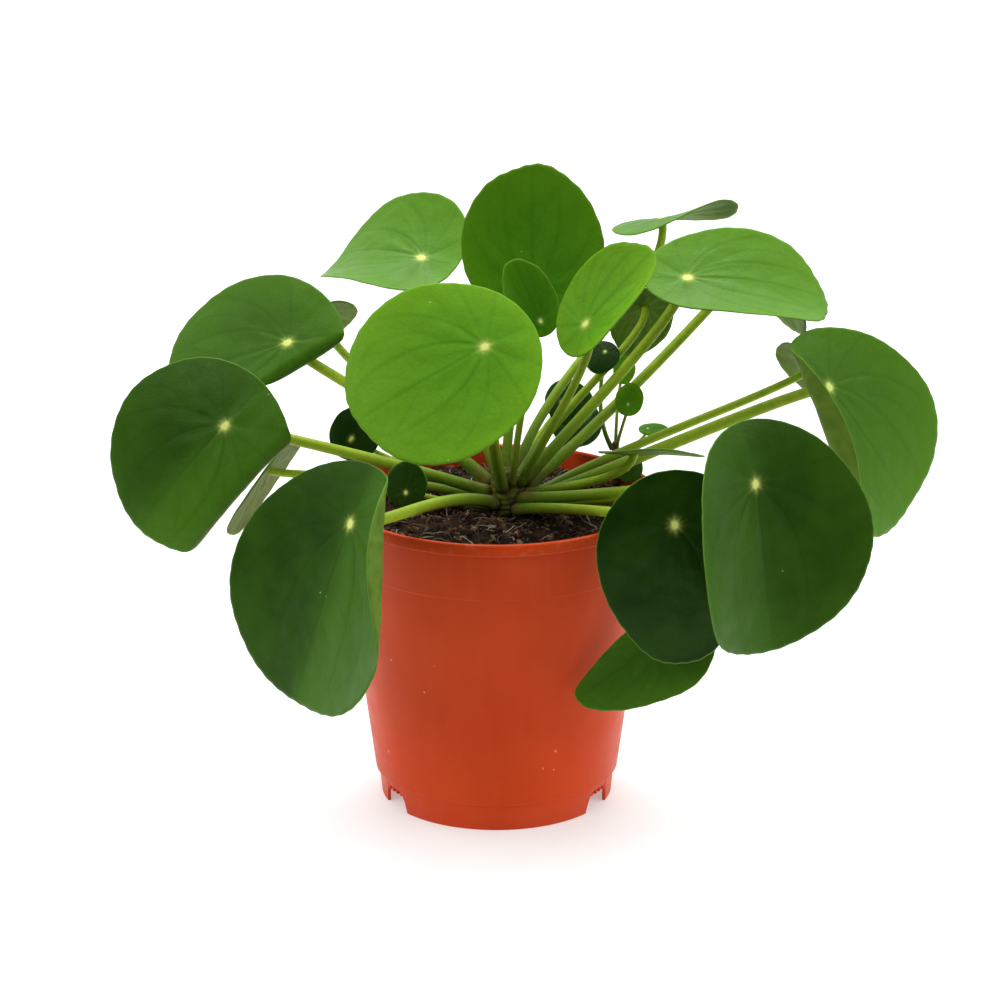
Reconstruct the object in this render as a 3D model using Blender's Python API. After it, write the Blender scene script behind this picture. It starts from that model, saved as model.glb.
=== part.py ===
"""Potted pilea (Chinese money plant) in a round plastic nursery pot.

Metres, +Z up.  The pot stands on Z = 0 and the front of the plant looks towards -Y.  Every leaf
is a round blade held near its middle (the hub) on a long stalk that springs from one short stem;
a small side shoot grows from the soil at the back right.
Lengths in the tables are millimetres and angles are degrees.  Places in them are counted from the
foot of the pot's axis, and POT_AT sets that axis so the plant's box is centred on the origin.
"""
import bpy
import math
import numpy as np

MM = 0.001
GAP = 0.3            # clearance left between pieces that touch
FIT = 0.25           # extra clearance at a stalk's cut end
POT_AT = (-12.0, 11.2, 0.0)

# Pot
POT_SEGMENTS = 84
POT_HEIGHT = 117.0
RIM_RADIUS = 60.0
RIM_LIP = 4.6        # height of the outer lip
WALL = 1.2
FOOT_RADIUS = 43.4
STEP_Z = 10.6        # where the foot skirt meets the body
STEP_RADIUS = 45.6
BAND_Z = 95.0        # where the plain band under the lip begins
BAND_RADIUS = 57.4
FLOOR_Z = 9.0        # underside of the floor
FLOOR_THICK = 1.4
NOTCH_TOP = 7.8
NOTCH_AT = (90.0, 210.0, 330.0)      # one at the back, two beside the front foot
NOTCH_HALF = 9.4
NOTCH_ROUND = 5.6

# Soil
SOIL_SEGMENTS = 48
SOIL_Z = 109.6
SOIL_MOUND = 4.2
SOIL_MOUND_AT = (-14.0, -20.0)
SOIL_MOUND_WIDE = 17.0
SOIL_CROWN_RISE = 1.4    # the soil is level at this height round the main stem
SOIL_LEVEL_IN = 9.5
SOIL_LEVEL_OUT = 15.0

# Main stem
CROWN = (4.0, -4.0)
STEM_FOOT = 111.5
STEM_TOP = 128.0
STEM_RINGS = [(6.2, STEM_FOOT), (7.0, STEM_FOOT + 3.0), (6.6, STEM_TOP - 8.0),
              (5.4, STEM_TOP - 3.5), (3.0, STEM_TOP - 0.5)]     # radius, height

# Side shoot
SHOOT_AT = (45.0, 32.0)
SHOOT_FOOT = 110.1
SHOOT_TOP = 127.0
SHOOT_RINGS = [(1.8, SHOOT_FOOT), (1.6, SHOOT_FOOT + 6.0), (1.3, SHOOT_TOP - 0.5)]

BLADE_THICK = 0.8
ANGLE_PLACES = 16
BLADE_RINGS = 5
BLADE_SECTORS = 20
STALK_SIDES = 6
STALK_STEPS = 8
SMALL_RINGS = 2
SMALL_SECTORS = 12
SMALL_STEPS = 6
SOIL_RINGS = (1.0, 0.84, 0.66, 0.48, 0.3, 0.17)      # shares of the soil's radius
YOUNG = ("centre", "top", "young_mid", "young_right")

# Leaves on the main stem.  hub: the point held by the stalk.  face: azimuth from the front and
# elevation of the upper side.  tip: turn of the tip away from straight down the slope.
# size: length and width.  set: share of the length behind the hub.  droop: bend towards the tip
# and towards the back edge.  shares: of the half width.  fold: bend of the two halves.  hem: half,
# distance from the midrib, breadth, angle and shift towards the tip of a sharper bend.
# root: azimuth, height and rise of the stalk where it leaves the stem.
LEAVES = [
    dict(name="left_low", hub=(-98, -25, 151), face=(-17, 19), tip=-40, size=(76, 73), set=0.28,
         droop=(20, 9), fold=(13, 7), hem=(1, 15.4, 10, 109, 0), egg=-0.01, root=(192, 119, 22),
         stalk=2),
    dict(name="left_high", hub=(-77, 13, 171), face=(-21, 46), tip=-69, size=(75, 69), set=0.29,
         shares=(0.45, 1), droop=(25, 8), fold=(5, 4), hem=(1, 5.6, 8.6, 122, 0.4), egg=0.01,
         root=(158, 121, 40), stalk=2, arrive=0.15),
    dict(name="left_back", hub=(-85, 15, 121), face=(-110, 35), tip=0, size=(48, 44), set=0.35,
         droop=(15, 10), fold=(10, 10), root=(172, 114, 22), stalk=1.6, arrive=0.05),
    dict(name="front_left", hub=(-51, -76, 131), face=(-46, 19), tip=-9, size=(93, 90), set=0.24,
         droop=(8, 16), fold=(-25, -19), hem=(1, 14.4, 16, -58, 0.67), egg=0.15,
         root=(226, 116, 25), stalk=2.1),
    dict(name="upper_left", hub=(-28, 44, 195), face=(-13, 62), tip=-109, size=(61, 60), set=0.26,
         droop=(43, -5), fold=(-34, -28), egg=-0.11, root=(124, 122, 60), stalk=1.9),
    dict(name="back_left", hub=(-68, 70, 165), face=(-150, 50), tip=20, size=(42, 36), set=0.35,
         droop=(25, 10), fold=(15, 15), root=(138, 116, 38), stalk=1.7),
    dict(name="centre", hub=(-4, -54, 189), face=(3, 34), tip=-62, size=(74, 67), set=0.27,
         droop=(20, 8), fold=(-4, 10), egg=0.06, root=(253, 122, 58), stalk=2),
    dict(name="top", hub=(13, 12, 191), face=(-3, 6), tip=180, size=(58, 54), set=0.16,
         droop=(-7, 5), fold=(-5, -6), egg=-0.09, root=(94, 122.2, 75), stalk=1.7),
    dict(name="young_mid", hub=(16, -14, 187), face=(1, 6), tip=-156, size=(32, 19), set=0.19,
         droop=(-9, 5), fold=(-28, -7), egg=-0.06, root=(288, 123, 80), stalk=1.2),
    dict(name="young_right", hub=(32, -25, 189), face=(-46, 30), tip=150, size=(51, 36), set=0.26,
         droop=(-4, 4), fold=(-26, -44), egg=0.03, root=(322, 122.8, 62), stalk=1.5),
    dict(name="under_right", hub=(55, 22, 182), face=(-175, 31), tip=7, size=(37, 24), set=0.33,
         droop=(11, 14), fold=(4, 7), egg=-0.01, root=(50, 122, 50), stalk=1.5, arrive=0.2),
    dict(name="right_upper", hub=(70, 12, 196), face=(10, 59), tip=89, size=(76, 51), set=0.23,
         droop=(30, -1), fold=(-13, -30), egg=0.13, root=(4, 122.5, 50), stalk=2),
    dict(name="right_back_high", hub=(63, 79, 201), face=(-127, 73), tip=-135, size=(51, 34),
         set=0.39, droop=(12, 3), fold=(8, 3), egg=-0.08, twist=-45, root=(72, 118.5, 55),
         stalk=1.7),
    dict(name="right_back", hub=(97, 64, 189), face=(112, 46), tip=1, size=(57, 51), set=0.34,
         droop=(31, 10), fold=(9, 2), egg=-0.04, root=(26, 118.5, 34), stalk=1.9),
    dict(name="right_big", hub=(122, 0, 158), face=(42, 20), tip=31, size=(86, 72), set=0.27,
         droop=(10, 8), fold=(-17, -21), hem=(-1, 6.4, 15, -75, 0.48), egg=0.23,
         root=(6, 114.5, 20), stalk=2.2),
    dict(name="right_rolled", hub=(118, 35, 154), face=(99, 29), tip=10, size=(37, 51), set=0.31,
         droop=(2, 11), fold=(39, 29), egg=-0.15, root=(36, 113.5, 18), stalk=1.6),
    dict(name="right_front", hub=(91, -68, 143), face=(32, 9), tip=3, size=(86, 88), set=0.27,
         droop=(2, 12), fold=(-27, -56), egg=0.12, root=(316, 118, 12), stalk=2),
    dict(name="right_low", hub=(63, -68, 128), face=(5, 0), tip=5, size=(78, 58), set=0.26,
         droop=(13, 7), fold=(12, 9), egg=-0.16, root=(300, 113.8, 20), stalk=1.9, arrive=0.1),
    dict(name="low_right", hub=(59, -50, 77), face=(-7, 13), tip=-53, size=(60, 40), set=0.35,
         shares=(1, 0.5), droop=(3, 7), fold=(1, 18), egg=-0.3, root=(334, 113.5, 12), stalk=1.7,
         arrive=0.25, over=(56, -25, 121)),
    dict(name="back_grey", hub=(31, 46, 133), face=(20, 55), tip=-30, size=(24, 21), set=0.35,
         droop=(20, 10), fold=(10, 10), root=(62, 114, 25), stalk=1.4, arrive=0.35),
    dict(name="edge_right", hub=(50, -20, 139), face=(178, 72), tip=-92, size=(40, 30), set=0.34,
         droop=(3, 3), fold=(3, -9), egg=-0.05, root=(347, 118.8, 12), stalk=1.6),
]

# Small leaves whose thin stalk and blade are one piece.  foot: where the stalk ends.
SMALL_LEAVES = [
    dict(name="low_left", hub=(-33, -21, 124), face=(-10, 15), tip=180, size=(18, 16),
         set=0.32, droop=(10, 10), fold=(10, 10), root=(206, 113.5, 12), stalk=1.0),
    dict(name="dark_left", hub=(-55, 40, 125), face=(-20, 30), tip=160, size=(24, 22),
         set=0.35, droop=(20, 10), fold=(10, 10), root=(148, 113.2, 12), stalk=1.0),
    dict(name="back_dark", hub=(25, 36, 141), face=(10, 40), tip=90, size=(20, 20),
         set=0.35, droop=(20, 10), fold=(10, 10), root=(87, 115.5, 24), stalk=1.0),
]

# Leaves of the side shoot, in the same form.
SHOOT_LEAVES = [
    dict(name="dark_mid", hub=(40, 11, 168), face=(0, 50), tip=-30, size=(15, 13),
         set=0.35, droop=(20, 10), fold=(10, 10), root=(200, 124, 60), stalk=0.8),
    dict(name="rim_right", hub=(49, 18, 120), face=(20, 40), tip=150, size=(14, 12),
         set=0.35, droop=(20, 10), fold=(10, 10), root=(290, 113, 15), stalk=0.7),
    dict(name="high", hub=(48, 38, 152), face=(15, 20), tip=170, size=(13, 9),
         set=0.35, droop=(5, 5), fold=(5, 5), root=(90, 125, 70), stalk=0.6),
    dict(name="round", hub=(49, 17, 146), face=(-10, 20), tip=170, size=(13, 11),
         set=0.35, droop=(5, 5), fold=(5, 5), root=(280, 125, 55), stalk=0.6),
    dict(name="side", hub=(57, 34, 131), face=(0, 70), tip=90, size=(12, 8),
         set=0.30, droop=(5, 5), fold=(5, 5), root=(0, 121, 35), stalk=0.6),
]


def clear_scene():
    for obj in list(bpy.data.objects):
        bpy.data.objects.remove(obj, do_unlink=True)


def material(name, colour, roughness, metallic=0.0):
    mat = bpy.data.materials.new(name)
    mat.use_nodes = True
    shader = mat.node_tree.nodes["Principled BSDF"]
    shader.inputs["Base Color"].default_value = (*colour, 1.0)
    shader.inputs["Roughness"].default_value = roughness
    shader.inputs["Metallic"].default_value = metallic
    mat.diffuse_color = (*colour, 1.0)
    return mat


def pot_material():
    return material("pot_plastic", (0.56, 0.075, 0.022), 0.42)


def soil_material():
    return material("soil", (0.032, 0.018, 0.011), 0.95)


def leaf_material():
    return material("leaf_green", (0.045, 0.16, 0.016), 0.4)


def young_leaf_material():
    return material("leaf_young", (0.11, 0.29, 0.018), 0.4)


def stalk_material():
    return material("stalk_green", (0.27, 0.36, 0.035), 0.45)


def stem_material():
    return material("stem_brown", (0.16, 0.12, 0.04), 0.7)


def shoot_material():
    return material("shoot_brown", (0.13, 0.045, 0.02), 0.65)


def add_body(name, points, faces, mat):
    """Object from points in millimetres round the pot's axis and faces, smooth shaded."""
    mesh = bpy.data.meshes.new(name)
    placed = (np.asarray(points, float) + POT_AT) * MM
    mesh.from_pydata(placed.tolist(), [], faces)
    mesh.validate()
    mesh.materials.append(mat)
    obj = bpy.data.objects.new(name, mesh)
    bpy.context.scene.collection.objects.link(obj)
    for poly in mesh.polygons:
        poly.use_smooth = True
    return obj


def band(lower, upper, count):
    """Quads between two closed rings that start at the given vertex numbers."""
    faces = []
    for i in range(count):
        j = (i + 1) % count
        faces.append((lower + i, lower + j, upper + j, upper + i))
    return faces


def revolve(loops, start, end):
    """Closed body from rings of points, with a pole before the first and after the last."""
    count = len(loops[0])
    points = [start]
    for loop in loops:
        points.extend(loop)
    points.append(end)
    last = len(points) - 1
    faces = [(0, 1 + (i + 1) % count, 1 + i) for i in range(count)]
    for k in range(len(loops) - 1):
        faces += band(1 + k * count, 1 + (k + 1) * count, count)
    base = last - count
    faces += [(last, base + i, base + (i + 1) % count) for i in range(count)]
    return points, faces


def notch_lift(angle):
    """Height of the foot's lower edge at an angle: up in the notches, round at their corners."""
    nearest = min(abs((angle - at + 180.0) % 360.0 - 180.0) for at in NOTCH_AT)
    inside = min(max((NOTCH_HALF - nearest) / NOTCH_ROUND, 0.0), 1.0)
    return NOTCH_TOP * math.sqrt(1.0 - (1.0 - inside) ** 2)


def pot_profile():
    """Outline of the pot wall from the middle of its underside, round the rim, to the floor."""
    inner_foot = FOOT_RADIUS - WALL
    lip_foot = POT_HEIGHT - RIM_LIP
    floor_top = FLOOR_Z + FLOOR_THICK
    return [
        (14.0, FLOOR_Z),
        (inner_foot + 0.6, FLOOR_Z),
        (inner_foot, 0.0),
        (FOOT_RADIUS, 0.0),
        (FOOT_RADIUS + 1.0, STEP_Z - 0.4),
        (STEP_RADIUS, STEP_Z),
        (BAND_RADIUS - 0.6, BAND_Z - 0.3),
        (BAND_RADIUS, BAND_Z + 0.3),
        (BAND_RADIUS + 0.8, lip_foot),
        (RIM_RADIUS, lip_foot + 0.4),
        (RIM_RADIUS, POT_HEIGHT - 0.5),
        (RIM_RADIUS - 0.5, POT_HEIGHT),
        (RIM_RADIUS - WALL - 0.4, POT_HEIGHT),
        (RIM_RADIUS - WALL - 1.0, POT_HEIGHT - 1.0),
        (BAND_RADIUS - WALL - 0.2, BAND_Z),
        (STEP_RADIUS - WALL, floor_top + 1.2),
        (STEP_RADIUS - WALL - 1.2, floor_top),
        (14.0, floor_top),
    ]


def make_pot():
    turn = 2.0 * math.pi / POT_SEGMENTS
    loops = []
    for radius, height in pot_profile():
        loop = []
        for i in range(POT_SEGMENTS):
            lift = notch_lift(math.degrees(i * turn)) if height == 0.0 else 0.0
            wide = radius + lift / STEP_Z
            loop.append((wide * math.cos(i * turn), wide * math.sin(i * turn), height + lift))
        loops.append(loop)
    start = (0.0, 0.0, FLOOR_Z)
    end = (0.0, 0.0, FLOOR_Z + FLOOR_THICK)
    points, faces = revolve(loops, start, end)
    return add_body("pot", points, faces, pot_material())


def soil_height(x, y):
    """Top of the soil: a low mound at the front left, shallow lumps, and level round the stem."""
    dx = x - SOIL_MOUND_AT[0]
    dy = y - SOIL_MOUND_AT[1]
    mound = SOIL_MOUND * math.exp(-(dx * dx + dy * dy) / (2.0 * SOIL_MOUND_WIDE ** 2))
    lumps = 0.5 * math.sin(0.19 * x + 0.6) * math.sin(0.23 * y - 0.4)
    away = math.hypot(x - CROWN[0], y - CROWN[1])
    level = min(max((SOIL_LEVEL_OUT - away) / (SOIL_LEVEL_OUT - SOIL_LEVEL_IN), 0.0), 1.0)
    return SOIL_Z + (mound + lumps) * (1.0 - level) + SOIL_CROWN_RISE * level


def make_soil():
    """Earth filling the pot from its floor to just under the rim."""
    side_low = STEP_RADIUS - WALL - GAP
    side_high = BAND_RADIUS - WALL - 0.2 - GAP
    floor = FLOOR_Z + FLOOR_THICK + GAP
    turn = 2.0 * math.pi / SOIL_SEGMENTS
    top_edge = side_high + 0.8
    walls = [(side_low * 0.5, floor), (side_low - 1.6, floor), (side_low - 0.4, floor + 1.6),
             (side_high - 0.3, BAND_Z)]
    loops = []
    for radius, height in walls:
        loops.append([(radius * math.cos(i * turn), radius * math.sin(i * turn), height)
                      for i in range(SOIL_SEGMENTS)])
    for share in SOIL_RINGS:
        loop = []
        for i in range(SOIL_SEGMENTS):
            x = CROWN[0] * (1.0 - share) + top_edge * share * math.cos(i * turn)
            y = CROWN[1] * (1.0 - share) + top_edge * share * math.sin(i * turn)
            loop.append((x, y, soil_height(x, y)))
        loops.append(loop)
    points, faces = revolve(loops, (0.0, 0.0, floor), (*CROWN, soil_height(*CROWN)))
    return add_body("soil", points, faces, soil_material())


def post(at, rings, sides):
    """Upright round post from (radius, height) rings, closed at both ends."""
    turn = 2.0 * math.pi / sides
    loops = []
    for radius, height in rings:
        loop = []
        for i in range(sides):
            loop.append((at[0] + radius * math.cos(i * turn),
                         at[1] + radius * math.sin(i * turn), height))
        loops.append(loop)
    return revolve(loops, (*at, rings[0][1]), (*at, rings[-1][1] + 0.5))


def make_main_stem():
    points, faces = post(CROWN, STEM_RINGS, 16)
    return add_body("main_stem", points, faces, stem_material())


def make_shoot_stem():
    points, faces = post(SHOOT_AT, SHOOT_RINGS, 10)
    return add_body("shoot_stem", points, faces, shoot_material())


def leaf_axes(leaf):
    """Unit vectors of a blade: towards its tip, across it, and out of its upper side."""
    azimuth, lift, turn = np.radians([*leaf["face"], leaf["tip"]])
    normal = np.array([np.sin(azimuth) * np.cos(lift), -np.cos(azimuth) * np.cos(lift),
                       np.sin(lift)])
    downhill = np.array([np.sin(azimuth) * np.sin(lift), -np.cos(azimuth) * np.sin(lift),
                         -np.cos(lift)])
    along = downhill * np.cos(turn) + np.cross(normal, downhill) * np.sin(turn)
    return along, np.cross(normal, along), normal


def path_along(distance, angle):
    """Way along and down after a distance, and the angle there: distance times the mean cosine
    and the mean sine of angle(d), taken at ANGLE_PLACES even places d."""
    places = distance[..., None] * (np.arange(ANGLE_PLACES) + 0.5) / ANGLE_PLACES
    turns = angle(places)
    return (distance * np.cos(turns).mean(axis=-1), distance * np.sin(turns).mean(axis=-1),
            angle(distance[..., None])[..., 0])


def blade_surface(leaf, rings, sectors):
    """Middle surface of a blade, rings x sectors points.

    s = r * ((0.5 - set) * length + length / 2 * cos a), t = r * width / 2 * sin a * (1 + egg
    cos a); s is bent by droop along the blade, then t by fold and hem across it, turned by
    twist.  Hem adds its angle over its breadth, eased as p^2 (3 - 2 p)."""
    length, width = leaf["size"]
    back = leaf["set"]
    tip_bend, back_bend = np.radians(leaf["droop"])
    right_bend, left_bend = np.radians(leaf["fold"])
    twist = np.radians(leaf.get("twist", 0.0))
    egg = leaf.get("egg", -0.05)
    a = np.arange(sectors) * 2.0 * np.pi / sectors
    r = np.arange(1, rings + 1)[:, None] / rings
    s = r * ((0.5 - back) * length + length / 2.0 * np.cos(a))
    t = r * (width / 2.0 * np.sin(a) * (1.0 + egg * np.cos(a)))
    right, left = leaf.get("shares", (1.0, 1.0))
    t = t * np.where(t > 0, right, left)
    side, start, breadth, extra, lead = leaf.get("hem", (1, 0, 10, 0, 0))

    def droop(d):
        return d * np.where(d > 0, tip_bend / ((1.0 - back) * length), back_bend / (back * length))

    def fold(d):
        p = np.clip((d * side - start - lead * s[..., None]) / breadth, 0.0, 1.0)
        hem = side * np.radians(extra) * p * p * (3.0 - 2.0 * p)
        return d * np.where(d > 0, right_bend, left_bend) / (width / 2.0) + hem * (d * side > 0)

    forward, down, tilt = path_along(s, droop)
    sideways, sink, _ = path_along(t, fold)
    tilt, roll = tilt[..., None], (twist * s / length)[..., None]
    along, across, normal = leaf_axes(leaf)
    local = np.cos(tilt) * normal + np.sin(tilt) * along
    rolled = np.cos(roll) * across + np.sin(roll) * local
    up = np.cos(roll) * local - np.sin(roll) * across
    return (np.array(leaf["hub"], float) + forward[..., None] * along - down[..., None] * normal
            + sideways[..., None] * rolled - sink[..., None] * up)


def surface_normals(grid, hub, normal):
    """Unit normals of a ring grid, from the differences between neighbouring points."""
    inner = np.concatenate([np.broadcast_to(hub, grid[:1].shape), grid[:-1]])
    outer = np.concatenate([grid[1:], grid[-1:]])
    round_way = np.roll(grid, -1, axis=1) - np.roll(grid, 1, axis=1)
    out = np.cross(outer - inner, round_way)
    out /= np.linalg.norm(out, axis=2, keepdims=True)
    return out * np.sign(np.sum(out[0] @ normal))


def blade_sheets(leaf, rings, sectors):
    """Upper and lower sheet of a blade, each (rings, sectors, 3), and its axes."""
    grid = blade_surface(leaf, rings, sectors)
    axes = leaf_axes(leaf)
    normals = surface_normals(grid, np.array(leaf["hub"], float), axes[2])
    half = 0.5 * BLADE_THICK
    return grid + half * normals, grid - half * normals, axes


def stalk_ends(leaf, at, rings):
    """Start and leaving direction of a stalk on a round stem with (radius, height) rings."""
    azimuth, height, rise = leaf["root"]
    azimuth = math.radians(azimuth)
    rise = math.radians(rise)
    radius = np.interp(height, [ring[1] for ring in rings], [ring[0] for ring in rings])
    reach = radius + GAP + FIT + leaf["stalk"] * math.sin(rise)
    start = np.array([at[0] + reach * math.cos(azimuth), at[1] + reach * math.sin(azimuth),
                      height])
    leave = np.array([math.cos(azimuth) * math.cos(rise), math.sin(azimuth) * math.cos(rise),
                      math.sin(rise)])
    return start, leave


def cubic(start, first, second, end, steps):
    t = np.linspace(0.0, 1.0, steps + 1)[:, None]
    return ((1 - t) ** 3 * start + 3 * (1 - t) ** 2 * t * first
            + 3 * (1 - t) * t * t * second + t ** 3 * end)


def stalk_path(leaf, at, rings, stop, steps):
    """Cubic curve from the stem to a point that is `stop` under the blade at its hub.

    A stalk that hangs over the rim has a point `over` it, which it passes level and outwards."""
    start, leave = stalk_ends(leaf, at, rings)
    normal = leaf_axes(leaf)[2]
    end = np.array(leaf["hub"], float) - stop * normal
    reach = np.linalg.norm(end - start)
    second = end - normal * reach * leaf.get("arrive", 0.2)
    if "over" not in leaf:
        first = start + leave * reach * 0.35
        return cubic(start, first, second, end, steps), leave, normal
    over = np.array(leaf["over"], float)
    level = np.array([end[0] - start[0], end[1] - start[1], 0.0])
    level /= np.linalg.norm(level)
    near = 0.35 * np.linalg.norm(over - start)
    far = 0.4 * np.linalg.norm(end - over)
    half = steps // 2
    inner = cubic(start, start + leave * near, over - level * near, over, half)
    outer = cubic(over, over + level * far, second, end, steps - half)
    return np.concatenate([inner, outer[1:]]), leave, normal


def tube_rings(path, leave, arrive, radius, sides, side):
    """Rings round a path, thicker at its start and turned to meet `side` at its end."""
    tangents = np.gradient(path, axis=0)
    tangents[0] = leave
    tangents[-1] = arrive
    tangents /= np.linalg.norm(tangents, axis=1, keepdims=True)
    loops = []
    for k in range(len(path) - 1, -1, -1):
        side = side - tangents[k] * (side @ tangents[k])
        side = side / np.linalg.norm(side)
        other = np.cross(tangents[k], side)
        swell = radius * (1.12 - 0.22 * k / (len(path) - 1))
        loop = []
        for i in range(sides):
            a = 2.0 * math.pi * i / sides
            loop.append(path[k] + swell * (math.cos(a) * side + math.sin(a) * other))
        loops.append(loop)
    return loops[::-1]


def make_stalk(leaf, at, rings, mat):
    """Round stalk from the stem to the underside of its blade."""
    stop = 0.5 * BLADE_THICK + GAP + FIT
    path, leave, normal = stalk_path(leaf, at, rings, stop, STALK_STEPS)
    along = leaf_axes(leaf)[0]
    loops = tube_rings(path, leave, normal, leaf["stalk"], STALK_SIDES, along)
    points, faces = revolve(loops, path[0], path[-1])
    return add_body("stalk_" + leaf["name"], points, faces, mat)


def make_blade(leaf, mat):
    """Closed blade: upper sheet, lower sheet and the thin edge between them."""
    upper, lower, axes = blade_sheets(leaf, BLADE_RINGS, BLADE_SECTORS)
    hub = np.array(leaf["hub"], float)
    half = 0.5 * BLADE_THICK * axes[2]
    loops = [list(ring) for ring in lower] + [list(ring) for ring in upper[::-1]]
    points, faces = revolve(loops, hub - half, hub + half)
    return add_body("leaf_" + leaf["name"], points, faces, mat)


def make_small_leaf(leaf, at, stem, mat, prefix):
    """Blade and thin stalk as one closed body: the stalk's rings run on into the lower sheet."""
    rings, sectors = SMALL_RINGS, SMALL_SECTORS
    upper, lower, axes = blade_sheets(leaf, rings, sectors)
    path, leave, normal = stalk_path(leaf, at, stem, 0.5 * BLADE_THICK + 0.1, SMALL_STEPS)
    loops = tube_rings(path, leave, normal, leaf["stalk"], sectors, axes[0])
    loops = [list(loop) for loop in loops] + [list(ring) for ring in lower]
    loops += [list(ring) for ring in upper[::-1]]
    hub = np.array(leaf["hub"], float)
    points, faces = revolve(loops, path[0], hub + 0.5 * BLADE_THICK * axes[2])
    return add_body(prefix + leaf["name"], points, faces, mat)


def make_plant():
    green = leaf_material()
    young = young_leaf_material()
    stalk = stalk_material()
    for leaf in LEAVES:
        make_blade(leaf, young if leaf["name"] in YOUNG else green)
        make_stalk(leaf, CROWN, STEM_RINGS, stalk)
    for leaf in SMALL_LEAVES:
        make_small_leaf(leaf, CROWN, STEM_RINGS, green, "leaf_")
    for leaf in SHOOT_LEAVES:
        make_small_leaf(leaf, SHOOT_AT, SHOOT_RINGS, green, "shoot_leaf_")


clear_scene()
make_pot()
make_soil()
make_main_stem()
make_shoot_stem()
make_plant()
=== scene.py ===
"""Looks of a potted pilea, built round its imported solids: a plastic nursery pot, peat, one short
stem, round leaves held near their middles on long stalks, and a small side shoot.

Metres, +Z up, seen from -Y.  Tables are in millimetres and degrees, counted from the foot of the
pot's axis.
"""

import bpy
import numpy as np
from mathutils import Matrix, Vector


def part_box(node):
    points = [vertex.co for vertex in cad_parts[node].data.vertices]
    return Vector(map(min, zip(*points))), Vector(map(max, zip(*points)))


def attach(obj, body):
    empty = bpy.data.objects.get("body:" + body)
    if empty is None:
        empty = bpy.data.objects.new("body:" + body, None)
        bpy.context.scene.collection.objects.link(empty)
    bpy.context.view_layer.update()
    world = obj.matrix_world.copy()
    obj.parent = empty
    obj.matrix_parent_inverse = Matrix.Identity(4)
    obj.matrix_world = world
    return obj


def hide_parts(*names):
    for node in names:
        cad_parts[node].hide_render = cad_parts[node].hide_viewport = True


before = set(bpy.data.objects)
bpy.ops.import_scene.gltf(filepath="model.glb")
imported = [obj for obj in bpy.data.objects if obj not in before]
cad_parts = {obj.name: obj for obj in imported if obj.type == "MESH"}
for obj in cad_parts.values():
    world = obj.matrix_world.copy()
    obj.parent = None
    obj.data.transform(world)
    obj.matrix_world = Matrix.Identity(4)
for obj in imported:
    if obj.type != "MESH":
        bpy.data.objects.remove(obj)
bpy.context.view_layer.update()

# ---------------------------------------------------------------------------------------------
# Pot: a thin round nursery pot, injection moulded in terracotta-coloured polypropylene.  It has a
# rolled lip, a plain band under it, a step where the foot skirt begins, and three notches in the
# skirt that let water out.
# ---------------------------------------------------------------------------------------------
MM = 0.001
POT_SIDES = 252
STEP_HEIGHT = 10.6
NOTCHES = (90.0, 210.0, 330.0)
NOTCH_HALF_ANGLE = 9.4
NOTCH_CORNER = 5.6
NOTCH_HEIGHT = 7.8
POT_OUTLINE = [
    (14.0, 9.0), (41.0, 9.0), (42.5, 8.7), (42.6, 7.6), (42.2, 0.3), (42.5, 0.0), (43.1, 0.0),
    (43.4, 0.3), (44.35, 9.9), (44.5, 10.2), (45.2, 10.35), (45.6, 10.7), (45.72, 11.4),
    (56.75, 94.3), (56.86, 94.8), (57.25, 95.0), (57.42, 95.4), (58.16, 111.9), (58.3, 112.35),
    (59.5, 112.5), (59.9, 112.75), (60.0, 113.3), (60.0, 116.2), (59.8, 116.7), (59.3, 117.0),
    (58.4, 116.95), (58.0, 116.6), (57.8, 116.0), (56.2, 95.0), (44.5, 12.0), (44.0, 10.9),
    (43.0, 10.4), (14.0, 10.4)]

pot_low, pot_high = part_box("pot")
POT_AXIS = np.array([(pot_low.x + pot_high.x) / 2, (pot_low.y + pot_high.y) / 2, 0.0]) / MM


def closed_body(name, start, rings, end):
    """Mesh of closed rings of points (ring, side, xyz), each joined to the next one side by side,
    with a pole before the first ring and one after the last.  Millimetres from the pot's axis."""
    count, sides = rings.shape[:2]
    points = np.concatenate([[start], rings.reshape(-1, 3), [end]]) + POT_AXIS
    here = np.arange(sides)
    ahead = np.roll(here, -1)
    first = np.arange(count - 1)[:, None] * sides + 1
    walls = np.stack([first + here, first + ahead, first + sides + ahead, first + sides + here],
                     -1).reshape(-1, 4)
    top = len(points) - 1
    foot = np.stack([np.zeros(sides, int), 1 + ahead, 1 + here], -1)
    head = np.stack([np.full(sides, top), top - sides + here, top - sides + ahead], -1)
    mesh = bpy.data.meshes.new(name)
    mesh.from_pydata((points * MM).tolist(), [], walls.tolist() + foot.tolist() + head.tolist())
    mesh.shade_smooth()
    return mesh


def place(mesh, finish, body="root"):
    """Object of a finished mesh, riding on the plant's one body."""
    mesh.materials.append(finish)
    piece = bpy.data.objects.new(mesh.name, mesh)
    bpy.context.scene.collection.objects.link(piece)
    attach(piece, body)
    return piece


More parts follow.
